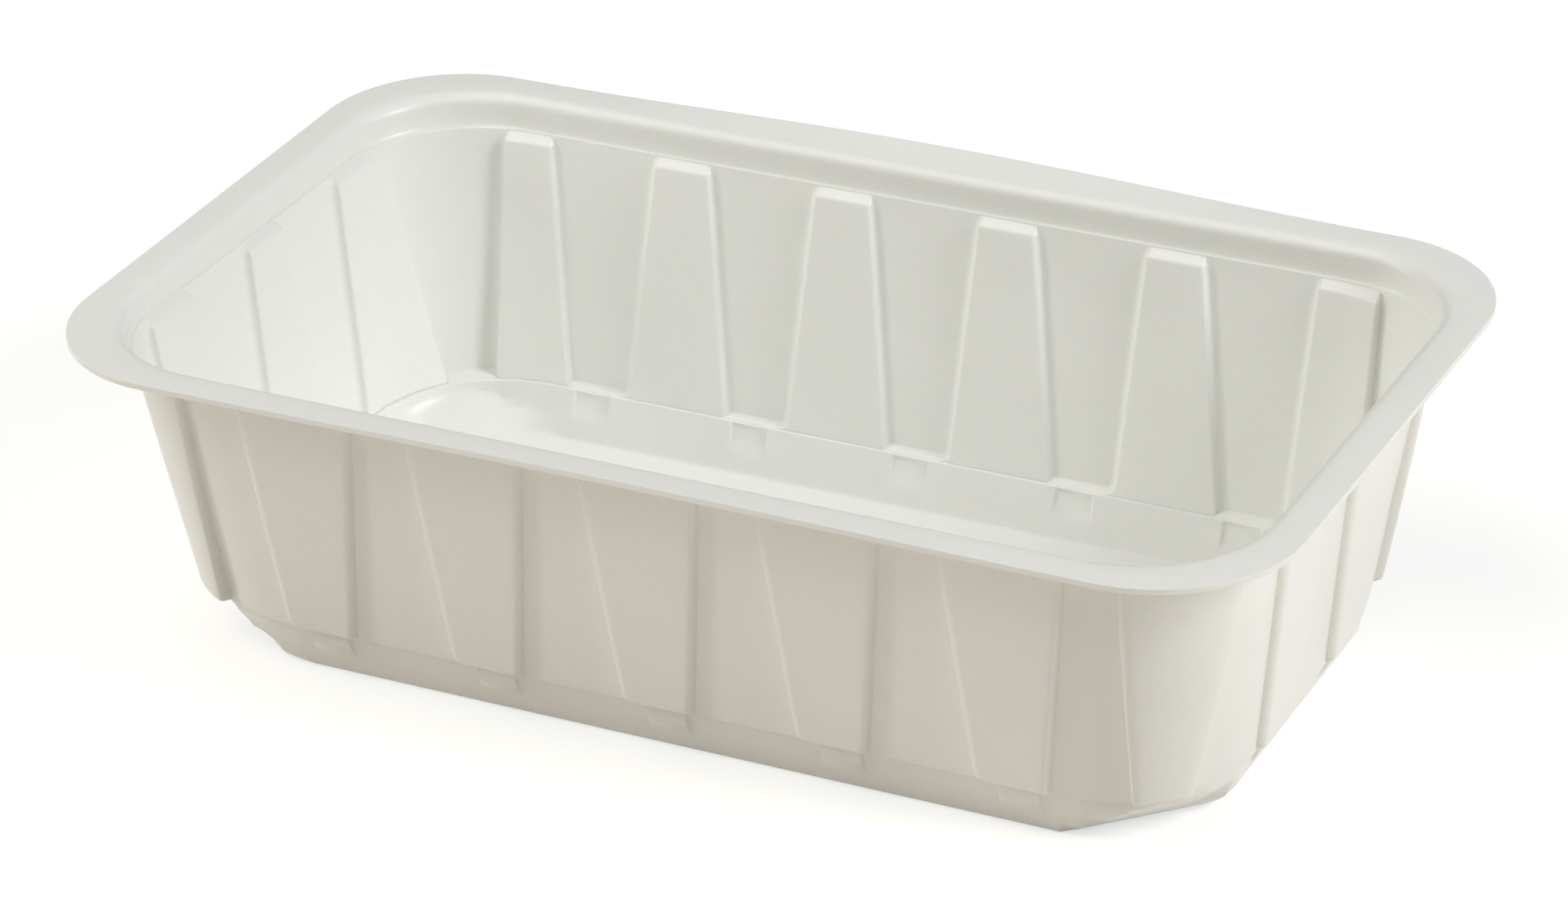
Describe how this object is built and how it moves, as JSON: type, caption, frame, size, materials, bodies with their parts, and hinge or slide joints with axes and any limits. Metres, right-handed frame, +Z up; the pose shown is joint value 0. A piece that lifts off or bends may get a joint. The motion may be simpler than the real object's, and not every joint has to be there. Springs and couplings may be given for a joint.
{
  "type": "meal tray",
  "caption": "Rectangular one-compartment meal tray of thin formed plastic with a flat sealing flange, fluted walls and a chamfered base.",
  "frame": {"origin": "centre of the base, on the surface the tray stands on", "axes": "+X along the long side, +Y towards the back long side, +Z up"},
  "size_m": [0.23, 0.139, 0.0649],
  "materials": {
    "tray_plastic": "satin, slightly translucent cream white"
  },
  "bodies": {
    "root": {"tray": "tray_plastic"}
  },
  "joints": []
}
